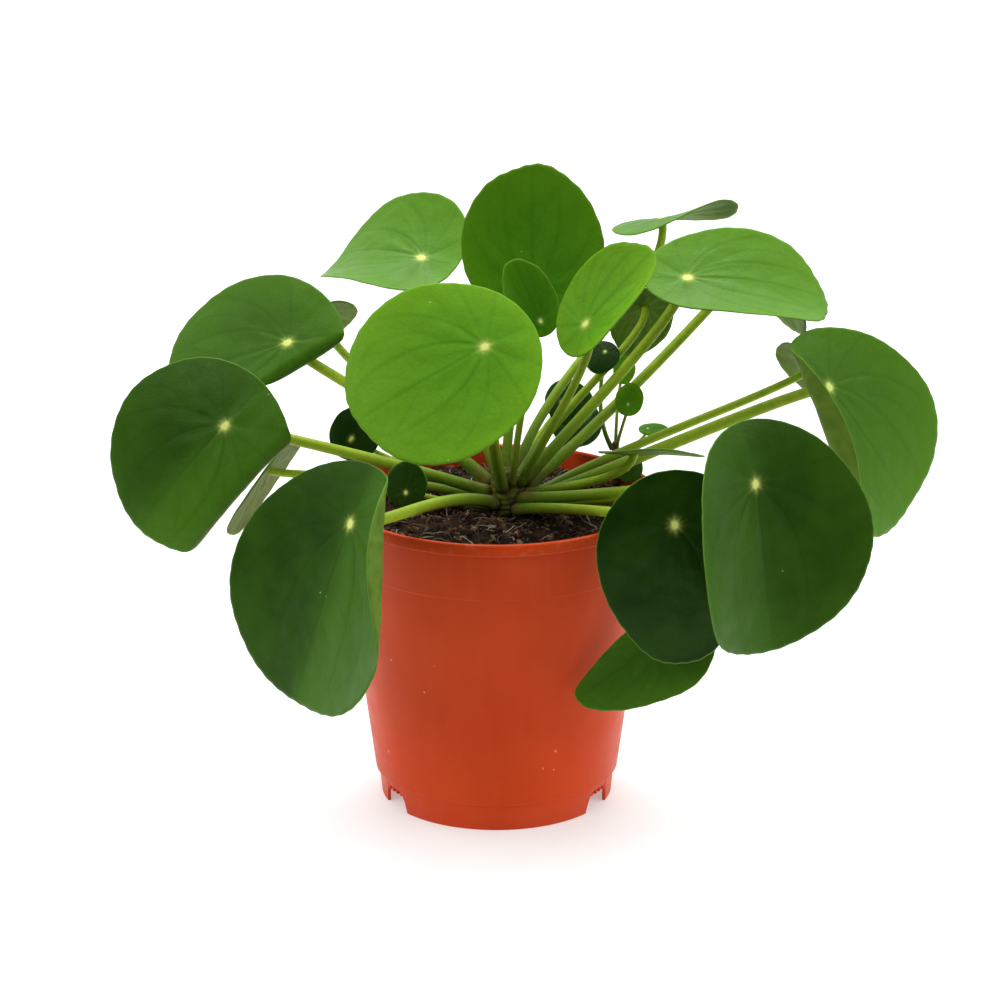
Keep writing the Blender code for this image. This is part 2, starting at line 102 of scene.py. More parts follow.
def pot_rings():
    """Radius and height of the outline turned round the axis; points at the skirt's lower edge
    rise by NOTCH_HEIGHT * sqrt(1 - (1 - q)^2), q going from 0 at a notch's edge to 1 inside."""
    turn = np.arange(POT_SIDES) * 360.0 / POT_SIDES
    away = np.abs((turn[:, None] - np.array(NOTCHES) + 180.0) % 360.0 - 180.0).min(axis=1)
    q = np.clip((NOTCH_HALF_ANGLE - away) / NOTCH_CORNER, 0.0, 1.0)
    lift = NOTCH_HEIGHT * np.sqrt(1.0 - (1.0 - q) ** 2)
    outline = np.array(POT_OUTLINE)
    radius = np.repeat(outline[:, :1], POT_SIDES, axis=1)
    height = np.repeat(outline[:, 1:], POT_SIDES, axis=1)
    edge = outline[:, 1] < 1.0
    height[edge] += lift
    radius[edge] += lift / STEP_HEIGHT
    a = np.radians(turn)
    return np.stack([radius * np.cos(a), radius * np.sin(a), height], -1)


class Finish:
    """A node-based finish being built: every method adds a node and returns what it gives out."""

    def __init__(self, name, roughness):
        self.material = bpy.data.materials.new(name)
        self.material.use_nodes = True
        self.tree = self.material.node_tree
        self.shader = self.tree.nodes["Principled BSDF"]
        self.put(self.shader.inputs["Roughness"], roughness)
        self.place = self.tree.nodes.new("ShaderNodeTexCoord").outputs["Object"]

    def put(self, socket, value):
        if isinstance(value, bpy.types.NodeSocket):
            self.tree.links.new(value, socket)
        elif isinstance(value, tuple) and len(value) == 3 and socket.type == "RGBA":
            socket.default_value = (*value, 1.0)
        else:
            socket.default_value = value

    def node(self, kind, inputs, out, **settings):
        node = self.tree.nodes.new(kind)
        for key, value in settings.items():
            setattr(node, key, value)
        for key, value in inputs.items():
            self.put(node.inputs[key], value)
        return node.outputs[out]

    def stretched(self, scale):
        return self.node("ShaderNodeMapping", {"Vector": self.place, "Scale": scale}, 0)

    def noise(self, scale, detail=2.0, place=None):
        return self.node("ShaderNodeTexNoise", {"Vector": place or self.place, "Scale": scale,
                                                "Detail": detail}, 0)

    def cells(self, scale, out="Distance", feature="F1", place=None):
        return self.node("ShaderNodeTexVoronoi", {"Vector": place or self.place, "Scale": scale},
                         out, feature=feature)

    def carried(self, name):
        return self.node("ShaderNodeAttribute", {}, "Fac", attribute_name=name)

    def ease(self, value, low, high, first=0.0, last=1.0):
        """Smooth step of a value from one height to another between low and high."""
        return self.node("ShaderNodeMapRange",
                         {0: value, 1: low, 2: high, 3: first, 4: last}, 0,
                         interpolation_type="SMOOTHSTEP")

    def times(self, first, second, operation="MULTIPLY"):
        return self.node("ShaderNodeMath", {0: first, 1: second}, 0, operation=operation)

    def blend(self, share, first, second):
        return self.node("ShaderNodeMix", {0: share, 6: first, 7: second}, 2, data_type="RGBA")

    def colour(self, value):
        self.put(self.shader.inputs["Base Color"], value)

    def gloss(self, level, tint):
        """Strength and colour of the mirror-like share, the same all over."""
        self.put(self.shader.inputs["Specular IOR Level"], level)
        self.put(self.shader.inputs["Specular Tint"], tint)

    def relief(self, height, depth, strength=1.0):
        """Bump of a height between 0 and 1, `depth` millimetres deep."""
        normal = self.node("ShaderNodeBump", {"Height": height, "Distance": depth * MM,
                                              "Strength": strength}, 0)
        self.put(self.shader.inputs["Normal"], normal)


def pot_plastic():
    """Satin terracotta plastic: cloudy tint, faint draw marks down the wall, paler patches on the lip
    and a few pale specks from handling."""
    f = Finish("pot_plastic", 0.4)
    cloud = f.noise(26.0, 3.0)
    tint = f.blend(f.ease(cloud, 0.3, 0.7), (0.56, 0.051, 0.008), (0.62, 0.062, 0.012))
    draw = f.noise(260.0, 2.0, f.stretched((1.0, 1.0, 0.04)))
    tint = f.blend(f.ease(draw, 0.35, 0.75, 0.0, 0.16), tint, (0.64, 0.085, 0.026))
    height = f.node("ShaderNodeSeparateXYZ", {"Vector": f.place}, 2)
    lip = f.ease(height, 0.1115, 0.1135)
    # paler patches over the lip band, from 111.5 mm up
    lip_patches = f.times(lip, f.ease(f.noise(320.0, 4.0), 0.5, 0.72, 0.0, 0.18))
    tint = f.blend(lip_patches, tint, (0.78, 0.24, 0.13))
    speck = f.times(f.ease(f.cells(115.0), 0.05, 0.075, 1.0, 0.0),
                    f.ease(f.noise(42.0, 1.0), 0.58, 0.62))
    tint = f.blend(f.times(speck, 0.65), tint, (0.80, 0.42, 0.28))
    f.colour(tint)
    f.put(f.shader.inputs["Roughness"], f.ease(f.noise(90.0, 3.0), 0.3, 0.7, 0.34, 0.46))
    f.gloss(0.13, (1.0, 0.6, 0.45))
    grain = f.blend(0.35, f.noise(2400.0, 2.0), draw)
    f.relief(grain, 0.05, 0.5)
    return f.material


pot_mesh = closed_body("pot_shell", (0, 0, 9.0), pot_rings(), (0, 0, 10.4))
pot_mesh.set_sharp_from_angle(angle=np.radians(50.0))
POT_FINISH = pot_plastic()
pot_shell = place(pot_mesh, POT_FINISH)
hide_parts("pot")

# Drain ribs: short upright ribs moulded behind each notch of the skirt, which keep the raised
# floor clear of the table.  Same plastic, one moulding with the pot.
RIB_ANGLES = (-8.6, -5.4, -1.8, 1.8, 5.4, 8.6)
RIB_LOW, RIB_HIGH = 5.4, 9.4
RIB_INNER, RIB_OUTER = 40.6, 44.0
RIB_HALF = 0.55


def ribs():
    """Upright ribs: the eight corners of a thin box, turned to each rib's angle as one array."""
    turns = np.radians(np.add.outer(NOTCHES, RIB_ANGLES).ravel())
    across = np.array([-1, 1, 1, -1, -1, 1, 1, -1]) * RIB_HALF
    out = np.array([0, 0, 1, 1, 0, 0, 1, 1]) * (RIB_OUTER - RIB_INNER) + RIB_INNER
    up = np.array([0, 0, 0.9, 0.9, RIB_HIGH - RIB_LOW] + [RIB_HIGH - RIB_LOW] * 3) + RIB_LOW
    c, s = np.cos(turns)[:, None], np.sin(turns)[:, None]
    points = np.stack([out * c - across * s, out * s + across * c, np.broadcast_to(up, (len(turns), 8))], -1)
    box = np.array([(0, 3, 2, 1), (4, 5, 6, 7), (0, 1, 5, 4), (1, 2, 6, 5), (2, 3, 7, 6), (3, 0, 4, 7)])
    faces = (box + 8 * np.arange(len(turns))[:, None, None]).reshape(-1, 4)
    mesh = bpy.data.meshes.new("pot_drain_ribs")
    mesh.from_pydata(((points.reshape(-1, 3) + POT_AXIS) * MM).tolist(), [], faces.tolist())
    return mesh


rib_piece = place(ribs(), POT_FINISH)
rib_edge = rib_piece.modifiers.new("rounding", "BEVEL")
rib_edge.width = 0.25 * MM
rib_edge.segments = 2

# ---------------------------------------------------------------------------------------------
# Soil: dark fibrous peat filling the pot to just under the lip, heaped a little at the front
# left of the stem.  One body with a lumpy top, and loose crumbs and root fibres lying on it.
# ---------------------------------------------------------------------------------------------
CROWN = (4.0, -4.0)
SOIL_LEVEL = 109.6
SOIL_SIDES = 260
SOIL_WALL = [(21.5, 10.9), (42.3, 10.9), (43.7, 12.4), (55.6, 95.0), (56.3, 108.0)]
SOIL_REACH = 56.6
random = np.random.default_rng(11)


def lumps(x, y, size, seed):
    """Smooth random height from -1 to 1: values on a square lattice of that size, eased with
    p^2 (3 - 2 p) between the lattice points."""
    table = np.random.default_rng(seed).uniform(-1.0, 1.0, (97, 97))
    u, v = x / size + 400.3, y / size + 400.7
    i, j = np.floor(u).astype(int), np.floor(v).astype(int)
    p, q = u - i, v - j
    p, q = p * p * (3.0 - 2.0 * p), q * q * (3.0 - 2.0 * q)
    i, j, k, m = i % 97, j % 97, (i + 1) % 97, (j + 1) % 97
    return ((table[i, j] * (1.0 - p) + table[k, j] * p) * (1.0 - q)
            + (table[i, m] * (1.0 - p) + table[k, m] * p) * q)


def soil_top(x, y):
    """Height of the peat: a Gaussian heap, four sizes of lumps, and level round the stem."""
    heap = 4.2 * np.exp(-((x + 14.0) ** 2 + (y + 20.0) ** 2) / (2.0 * 17.0 ** 2))
    rough = 1.2 * lumps(x, y, 9.0, 1) + 0.9 * lumps(x, y, 4.2, 2)
    rough += 0.6 * np.abs(lumps(x, y, 1.9, 3)) + 0.3 * lumps(x, y, 0.9, 4)
    away = np.hypot(x - CROWN[0], y - CROWN[1])
    level = np.clip((15.0 - away) / 5.5, 0.0, 1.0)
    return SOIL_LEVEL + heap * (1.0 - level) + 1.5 * level + rough * (1.0 - 0.6 * level)


def soil_rings():
    a = np.arange(SOIL_SIDES) * 2.0 * np.pi / SOIL_SIDES
    wall = np.array(SOIL_WALL)
    sides = np.stack([wall[:, :1] * np.cos(a), wall[:, :1] * np.sin(a),
                      np.repeat(wall[:, 1:], SOIL_SIDES, axis=1)], -1)
    share = np.linspace(1.0, 0.02, 96)[:, None]
    x = CROWN[0] * (1.0 - share) + SOIL_REACH * share * np.cos(a)
    y = CROWN[1] * (1.0 - share) + SOIL_REACH * share * np.sin(a)
    return np.concatenate([sides, np.stack([x, y, soil_top(x, y)], -1)])


def peat(name, dark, brown, roughness, shaded=False):
    """Peat: black-brown to brown in patches and grains, matt, with a rough crumbly relief."""
    f = Finish(name, roughness)
    patch = f.noise(120.0, 5.0)
    tint = f.blend(f.ease(patch, 0.38, 0.66), dark, brown)
    grain = f.noise(900.0, 4.0)
    tint = f.blend(f.ease(grain, 0.6, 0.74, 0.0, 0.6), tint, (0.12, 0.066, 0.036))
    if shaded:
        tint = f.blend(f.carried("shade"), tint, (0.24, 0.14, 0.075))
    f.colour(tint)
    f.gloss(0.12, (1.0, 0.9, 0.8))
    f.relief(f.blend(0.5, grain, f.noise(2600.0, 3.0)), 0.5, 0.9)
    return f.material


soil_body = place(closed_body("soil_peat", (0, 0, 10.9), soil_rings(), (*CROWN, 111.2)),
                  peat("peat", (0.006, 0.0035, 0.002), (0.034, 0.017, 0.009), 0.9))
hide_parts("soil")


def scattered(count, reach):
    """Random places on the soil, evenly spread over its circle."""
    a = random.uniform(0.0, 2.0 * np.pi, count)
    r = reach * np.sqrt(random.uniform(0.0, 1.0, count))
    return r * np.cos(a), r * np.sin(a)


def turned(count):
    """Random rotation matrices, from random unit quaternions."""
    w, x, y, z = np.moveaxis(random.normal(size=(count, 4)), 1, 0)
    size = np.sqrt(w * w + x * x + y * y + z * z)
    w, x, y, z = w / size, x / size, y / size, z / size
    return np.array([[1 - 2 * (y * y + z * z), 2 * (x * y - z * w), 2 * (x * z + y * w)],
                     [2 * (x * y + z * w), 1 - 2 * (x * x + z * z), 2 * (y * z - x * w)],
                     [2 * (x * z - y * w), 2 * (y * z + x * w), 1 - 2 * (x * x + y * y)]]
                    ).transpose(2, 0, 1)


def crumbs(name, count, sizes, stretch, sink, reach=54.0):
    """Knobbly crumbs: a sphere of 5 rings by 7 sides whose radius varies at random from point to
    point, stretched, turned and set on the soil's surface, all crumbs as one array."""
    rows, cols = 5, 7
    tilt = (np.arange(rows) + 1.0)[:, None] * np.pi / (rows + 1.0)
    turn = np.arange(cols) * 2.0 * np.pi / cols
    ball = np.stack([np.sin(tilt) * np.cos(turn), np.sin(tilt) * np.sin(turn),
                     np.broadcast_to(np.cos(tilt), (rows, cols))], -1).reshape(-1, 3)
    ball = np.concatenate([[[0.0, 0.0, 1.0]], ball, [[0.0, 0.0, -1.0]]])
    x, y = scattered(count, reach)
    size = sizes[0] + (sizes[1] - sizes[0]) * random.uniform(0.0, 1.0, count) ** 2.2
    knobs = random.uniform(0.5, 1.2, (count, len(ball), 1))
    shape = ball * knobs * size[:, None, None] * np.array(stretch)
    shape = np.einsum("nij,nkj->nki", turned(count), shape)
    middle = np.stack([x, y, soil_top(x, y) + size * sink], -1)
    points = shape + middle[:, None]
    here = np.arange(cols)
    ahead = np.roll(here, -1)
    first = np.arange(rows - 1)[:, None] * cols + 1
    walls = np.stack([first + here, first + cols + here, first + cols + ahead, first + ahead],
                     -1).reshape(-1, 4)
    last = len(ball) - 1
    caps = np.concatenate([np.stack([np.zeros(cols, int), 1 + here, 1 + ahead], -1),
                           np.stack([np.full(cols, last), last - cols + ahead,
                                     last - cols + here], -1)])
    step = len(ball) * np.arange(count)[:, None, None]
    faces = (walls + step).reshape(-1, 4).tolist() + (caps + step).reshape(-1, 3).tolist()
    mesh = bpy.data.meshes.new(name)
    mesh.from_pydata(((points.reshape(-1, 3) + POT_AXIS) * MM).tolist(), [], faces)
    mesh.shade_smooth()
    shade = np.repeat(random.uniform(0.0, 1.0, count) ** 4, len(ball))
    mesh.attributes.new("shade", "FLOAT", "POINT").data.foreach_set("value", shade)
    return mesh


LOOSE_PEAT = peat("loose_peat", (0.008, 0.0045, 0.003), (0.05, 0.026, 0.014), 0.85, True)
for crumb_mesh in (crumbs("soil_crumbs", 2000, (0.3, 1.9), (1.0, 0.75, 0.5), 0.1),
                   crumbs("soil_bark", 240, (0.8, 3.4), (1.0, 0.45, 0.22), 0.2)):
    loose = place(crumb_mesh, LOOSE_PEAT)


def fibre_finish():
    """Dry root fibre: straw to grey-brown, changing along the strand."""
    f = Finish("peat_fibre", 0.8)
    tint = f.blend(f.carried("shade"), (0.055, 0.030, 0.015), (0.50, 0.40, 0.30))
    f.colour(f.blend(f.ease(f.noise(500.0, 2.0), 0.4, 0.7, 0.0, 0.5), tint, (0.05, 0.028, 0.016)))
    return f.material


def fibres(name, count):
    """Strands of old root: a quadratic curve of 8 points between two places on the soil, humped
    in the middle, with 4 points round it whose radius tapers to both ends."""
    x, y = scattered(count, 52.0)
    heading = random.uniform(0.0, 2.0 * np.pi, count)
    length = random.uniform(3.0, 13.0, count)
    swerve = random.uniform(-0.35, 0.35, count) * length
    t = np.linspace(0.0, 1.0, 8)
    along = (t - 0.5) * length[:, None]
    aside = 4.0 * t * (1.0 - t) * swerve[:, None]
    px = x[:, None] + along * np.cos(heading)[:, None] - aside * np.sin(heading)[:, None]
    py = y[:, None] + along * np.sin(heading)[:, None] + aside * np.cos(heading)[:, None]
    inside = np.minimum(1.0, 55.0 / np.hypot(px, py))
    px, py = px * inside, py * inside
    hump = random.uniform(0.1, 1.5, count)[:, None]
    pz = np.minimum(soil_top(px, py) + 0.15 + 4.0 * t * (1.0 - t) * hump, 116.4)
    line = np.stack([px, py, pz], -1)
    ring = np.arange(4) * np.pi / 2.0
    thick = random.uniform(0.10, 0.30, count)[:, None, None] * (0.25 + 3.0 * t * (1.0 - t))[:, None]
    side = np.stack([-np.sin(heading), np.cos(heading), np.zeros(count)], -1)[:, None, None]
    up = np.array([0.0, 0.0, 1.0])
    shell = (line[:, :, None] + thick[..., None] * (np.cos(ring)[:, None] * side
                                                    + np.sin(ring)[:, None] * up))
    shell = shell.reshape(count, -1, 3)
    here = np.arange(4)
    ahead = np.roll(here, -1)
    first = np.arange(7)[:, None] * 4
    walls = np.stack([first + here, first + 4 + here, first + 4 + ahead, first + ahead],
                     -1).reshape(-1, 4)
    ends = np.array([[0, 1, 2, 3], [31, 30, 29, 28]])
    faces = (np.concatenate([walls, ends]) + 32 * np.arange(count)[:, None, None]).reshape(-1, 4)
    mesh = bpy.data.meshes.new(name)
    mesh.from_pydata(((shell.reshape(-1, 3) + POT_AXIS) * MM).tolist(), [], faces.tolist())
    mesh.shade_smooth()
    shade = np.repeat(random.uniform(0.0, 1.0, count) ** 3, 32)
    mesh.attributes.new("shade", "FLOAT", "POINT").data.foreach_set("value", shade)
    return mesh


soil_fibres = place(fibres("soil_fibres", 300), fibre_finish())

# ---------------------------------------------------------------------------------------------
# Main stem: the short woody stem that every stalk springs from, ringed with the scars of old
# leaves.
# ---------------------------------------------------------------------------------------------
STEM_RINGS = [(6.2, 111.5), (7.0, 114.5), (6.6, 120.0), (5.4, 124.5), (3.0, 127.5)]
STEM_SIDES = 48


def stem_rings(at, outline, scar, pitch, sides):
    """Outline radius by height, swelled by scar * |sin(pi height / pitch)| and by slow ribs."""
    radius, height = np.array(outline).T
    z = np.linspace(height[0], height[-1], 60)[:, None]
    a = np.arange(sides) * 2.0 * np.pi / sides
    r = np.interp(z, height, radius) * (1.0 + 0.03 * np.sin(5.0 * a + 0.4 * z))
    r = r + scar * (np.abs(np.sin(np.pi * (z + 0.35 * np.sin(2.0 * a)) / pitch)) - 0.8)
    return np.stack([at[0] + r * np.cos(a), at[1] + r * np.sin(a),
                     np.broadcast_to(z, r.shape)], -1)


def bark(name, low, high, scale):
    """Young bark: brown with greener patches, fine grain along the stem, matt."""
    f = Finish(name, 0.7)
    tint = f.blend(f.ease(f.noise(scale, 4.0), 0.35, 0.68), low, high)
    grain = f.noise(1300.0, 3.0, f.stretched((1.0, 1.0, 0.35)))
    f.colour(f.blend(f.ease(grain, 0.5, 0.75, 0.0, 0.5), tint, (0.13, 0.085, 0.030)))
    f.gloss(0.12, (1.0, 0.9, 0.8))
    f.relief(grain, 0.3, 0.8)
    return f.material


STEM_BARK = bark("stem_bark", (0.040, 0.026, 0.010), (0.11, 0.14, 0.018), 240.0)
stem_low, stem_high = (*CROWN, 111.5), (*CROWN, 128.0)
stem_shell = stem_rings(CROWN, STEM_RINGS, 0.35, 2.1, STEM_SIDES)
main_stem = place(closed_body("stem_short", stem_low, stem_shell, stem_high), STEM_BARK)
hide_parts("main_stem")

# ---------------------------------------------------------------------------------------------
# Leaves on the main stem: round fleshy blades, each held at a pale star-shaped spot a little
# behind its middle, on a smooth round stalk.  hub: that spot.  face: azimuth from the front and
# elevation of the upper side.  tip: turn of the tip from straight down the slope.  size: length
# and width.  set: share of the length behind the hub.  droop: bend to the tip and to the back.
# shares: of the half width.  fold: bend of the two sides.  hem: half, distance from the
# midrib, breadth, angle and shift towards the tip of a sharper bend.  root: azimuth, height and
# rise of the stalk at the stem.  tone: 0 old and dark to 1 young and light; halves: painted
# light that each half adds to it, standing for the sheen that side of a folded blade takes.
# ---------------------------------------------------------------------------------------------
LEAVES = [
    dict(name="left_low", hub=(-98, -25, 151), face=(-17, 19), tip=-40, size=(76, 73), set=0.28,
         droop=(20, 9), fold=(13, 7), hem=(1, 15.4, 10, 109, 0), egg=-0.01, root=(192, 119, 22),
         stalk=2, tone=0.18, halves=(0.4, 0)),
    dict(name="left_high", hub=(-77, 13, 171), face=(-21, 46), tip=-69, size=(75, 69), set=0.29,
         shares=(0.45, 1), droop=(25, 8), fold=(5, 4), hem=(1, 5.6, 8.6, 122, 0.4), egg=0.01,
         root=(158, 121, 40), stalk=2, arrive=0.15, tone=0.38, halves=(0.1, 0)),
    dict(name="left_back", hub=(-85, 15, 121), face=(-110, 35), tip=0, size=(48, 44), set=0.35,
         droop=(15, 10), fold=(10, 10), root=(172, 114, 22), stalk=1.6, arrive=0.05, tone=0),
    dict(name="front_left", hub=(-51, -76, 131), face=(-46, 19), tip=-9, size=(93, 90), set=0.24,
         droop=(8, 16), fold=(-25, -19), hem=(1, 14.4, 16, -58, 0.67), egg=0.15,
         root=(226, 116, 25), stalk=2.1, tone=0.1, halves=(0.4, 0)),
    dict(name="upper_left", hub=(-28, 44, 195), face=(-13, 62), tip=-109, size=(61, 60), set=0.26,
         droop=(43, -5), fold=(-34, -28), egg=-0.11, root=(124, 122, 60), stalk=1.9, tone=0.95),
    dict(name="back_left", hub=(-68, 70, 165), face=(-150, 50), tip=20, size=(42, 36), set=0.35,
         droop=(25, 10), fold=(15, 15), root=(138, 116, 38), stalk=1.7, tone=0.1),
    dict(name="centre", hub=(-4, -54, 189), face=(3, 34), tip=-62, size=(74, 67), set=0.27,
         droop=(20, 8), fold=(-4, 10), egg=0.06, root=(253, 122, 58), stalk=2, tone=0.75),
    dict(name="top", hub=(13, 12, 191), face=(-3, 6), tip=180, size=(58, 54), set=0.16,
         droop=(-7, 5), fold=(-5, -6), egg=-0.09, root=(94, 122.2, 75), stalk=1.7, tone=0.4),
    dict(name="young_mid", hub=(16, -14, 187), face=(1, 6), tip=-156, size=(32, 19), set=0.19,
         droop=(-9, 5), fold=(-28, -7), egg=-0.06, root=(288, 123, 80), stalk=1.2, tone=0.3),
    dict(name="young_right", hub=(32, -25, 189), face=(-46, 30), tip=150, size=(51, 36), set=0.26,
         droop=(-4, 4), fold=(-26, -44), egg=0.03, root=(322, 122.8, 62), stalk=1.5, tone=1),
    dict(name="under_right", hub=(55, 22, 182), face=(-175, 31), tip=7, size=(37, 24), set=0.33,
         droop=(11, 14), fold=(4, 7), egg=-0.01, root=(50, 122, 50), stalk=1.5, arrive=0.2,
         tone=0.9),
    dict(name="right_upper", hub=(70, 12, 196), face=(10, 59), tip=89, size=(76, 51), set=0.23,
         droop=(30, -1), fold=(-13, -30), egg=0.13, root=(4, 122.5, 50), stalk=2, tone=0.95),
    dict(name="right_back_high", hub=(63, 79, 201), face=(-127, 73), tip=-135, size=(51, 34),
         set=0.39, droop=(12, 3), fold=(8, 3), egg=-0.08, twist=-45, root=(72, 118.5, 55),
         stalk=1.7, tone=0.8),
    dict(name="right_back", hub=(97, 64, 189), face=(112, 46), tip=1, size=(57, 51), set=0.34,
         droop=(31, 10), fold=(9, 2), egg=-0.04, root=(26, 118.5, 34), stalk=1.9, tone=0.05),
    dict(name="right_big", hub=(122, 0, 158), face=(42, 20), tip=31, size=(86, 72), set=0.27,
         droop=(10, 8), fold=(-17, -21), hem=(-1, 6.4, 15, -75, 0.48), egg=0.23,
         root=(6, 114.5, 20), stalk=2.2, tone=0.65),
    dict(name="right_rolled", hub=(118, 35, 154), face=(99, 29), tip=10, size=(37, 51), set=0.31,
         droop=(2, 11), fold=(39, 29), egg=-0.15, root=(36, 113.5, 18), stalk=1.6, tone=0.1),
    dict(name="right_front", hub=(91, -68, 143), face=(32, 9), tip=3, size=(86, 88), set=0.27,
         droop=(2, 12), fold=(-27, -56), egg=0.12, root=(316, 118, 12), stalk=2, tone=0.14,
         halves=(0, 0.22)),
    dict(name="right_low", hub=(63, -68, 128), face=(5, 0), tip=5, size=(78, 58), set=0.26,
         droop=(13, 7), fold=(12, 9), egg=-0.16, root=(300, 113.8, 20), stalk=1.9, arrive=0.1,
         tone=0),
    dict(name="low_right", hub=(59, -50, 77), face=(-7, 13), tip=-53, size=(60, 40), set=0.35,
         shares=(1, 0.5), droop=(3, 7), fold=(1, 18), egg=-0.3, root=(334, 113.5, 12), stalk=1.7,
         arrive=0.25, over=(56, -25, 121), tone=0.35),
    dict(name="back_grey", hub=(31, 46, 133), face=(20, 55), tip=-30, size=(24, 21), set=0.35,
         droop=(20, 10), fold=(10, 10), root=(62, 114, 25), stalk=1.4, arrive=0.35, tone=0.05),
    dict(name="edge_right", hub=(50, -20, 139), face=(178, 72), tip=-92, size=(40, 30), set=0.34,
         droop=(3, 3), fold=(3, -9), egg=-0.05, root=(347, 118.8, 12), stalk=1.6, tone=0.4),
]
BLADE_THICK = 0.8
ANGLE_PLACES = 16
FULL_GROWN = 45.0        # width from which a blade has its full relief
BLADE_RINGS, BLADE_SECTORS = 58, 240
UNDER_RINGS = 20
OUTLINE_SHRINK = 0.985
SCALLOP_PITCH, SCALLOP_DEPTH = 6.5, 0.16
# Veins of one half, as start, middle and end of a curve: share of the way to the tip (or to the
# back edge where negative) and share of the half width.  The last number is the vein's weight.
VEINS = [
    ((0, 0), (0.45, 0.0), (0.94, 0.0), 1.0), ((0, 0), (0.26, 0.44), (0.80, 0.36), 0.85),
    ((0, 0), (0.10, 0.60), (0.50, 0.84), 0.7), ((0, 0), (-0.16, 0.45), (-0.10, 0.86), 0.6),
    ((0, 0), (-0.45, 0.30), (-0.75, 0.52), 0.55), ((0, 0), (-0.4, 0.0), (-0.8, 0.0), 0.5),
    ((0.50, 0.0), (0.62, 0.27), (0.83, 0.33), 0.55), ((0.30, 0.0), (0.40, 0.17), (0.46, 0.40), 0.45),
    ((0.80, 0.36), (0.92, 0.28), (0.93, 0.05), 0.45), ((0.24, 0.33), (0.36, 0.60), (0.62, 0.62), 0.5),
    ((0.62, 0.62), (0.76, 0.56), (0.80, 0.36), 0.45), ((0.12, 0.50), (0.06, 0.74), (0.24, 0.86), 0.4)]


def leaf_axes(leaf):
    """Unit vectors of a blade: towards its tip, across it, and out of its upper side."""
    azimuth, lift, turn = np.radians([*leaf["face"], leaf["tip"]])
    normal = np.array([np.sin(azimuth) * np.cos(lift), -np.cos(azimuth) * np.cos(lift),
                       np.sin(lift)])
    downhill = np.array([np.sin(azimuth) * np.sin(lift), -np.cos(azimuth) * np.sin(lift),
                         -np.cos(lift)])
    along = downhill * np.cos(turn) + np.cross(normal, downhill) * np.sin(turn)
    return along, np.cross(normal, along), normal


def path_along(distance, angle):
    """Way along and down after a distance, and the angle there: distance times the mean cosine
    and the mean sine of angle(d), taken at ANGLE_PLACES even places d."""
    places = distance[..., None] * (np.arange(ANGLE_PLACES) + 0.5) / ANGLE_PLACES
    turns = angle(places)
    return (distance * np.cos(turns).mean(axis=-1), distance * np.sin(turns).mean(axis=-1),
            angle(distance[..., None])[..., 0])


def blade_flat(leaf, share, a):
    """Flat blade, length s and breadth t: s = r ((1/2 - set) L + L/2 cos a), t = r W/2 sin a
    (1 + egg cos a), each half by its share; the margin is drawn in by scallops and by two slow waves."""
    length, width = np.array(leaf["size"], float) * OUTLINE_SHRINK
    seed = float(sum(map(ord, leaf["name"])))
    teeth = round(np.pi * (length + width) / 2.0 / SCALLOP_PITCH)
    cut = SCALLOP_DEPTH * (0.5 + 0.5 * np.cos(teeth * a + 1.6 * np.sin(3.0 * a + seed)))
    cut = cut + 0.22 * (1.0 + np.sin(5.0 * a + seed)) + 0.12 * (1.0 + np.sin(8.0 * a + 2.0 * seed))
    cut = cut * min(1.0, width / FULL_GROWN)
    r = share * (1.0 - cut * share ** 6 / (width / 2.0))
    s = r * ((0.5 - leaf["set"]) * length + length / 2.0 * np.cos(a))
    t = r * (width / 2.0 * np.sin(a) * (1.0 + leaf.get("egg", -0.05) * np.cos(a)))
    right, left = leaf.get("shares", (1.0, 1.0))
    return s, t * np.where(t > 0, right, left)


def vein_map(leaf, s, t):
    """How much of a vein lies at each point: exp(-(distance / breadth)^2) of the nearest one."""
    length, width = leaf["size"]
    front, back = (1.0 - leaf["set"]) * length, leaf["set"] * length
    found = np.zeros_like(s)
    u = np.linspace(0.0, 1.0, 11)[:, None]
    for start, middle, end, weight in VEINS:
        curve = (1 - u) ** 2 * np.array(start) + 2 * u * (1 - u) * np.array(middle) + u * u * np.array(end)
        line = np.stack([curve[:, 0] * np.where(curve[:, 0] > 0, front, back),
                         curve[:, 1] * width / 2.0], -1)
        step = line[1:] - line[:-1]
        ds = s[..., None] - line[:-1, 0]
        dt = np.abs(t)[..., None] - line[:-1, 1]
        along = np.clip((ds * step[:, 0] + dt * step[:, 1]) / (step ** 2).sum(axis=1), 0.0, 1.0)
        far = np.hypot(ds - along * step[:, 0], dt - along * step[:, 1]).min(axis=2)
        fade = np.exp(-(s ** 2 + t ** 2) / (0.9 * front) ** 2)
        found = np.maximum(found, weight * fade ** 0.6 * np.exp(-(far / 0.75) ** 2))
    return found


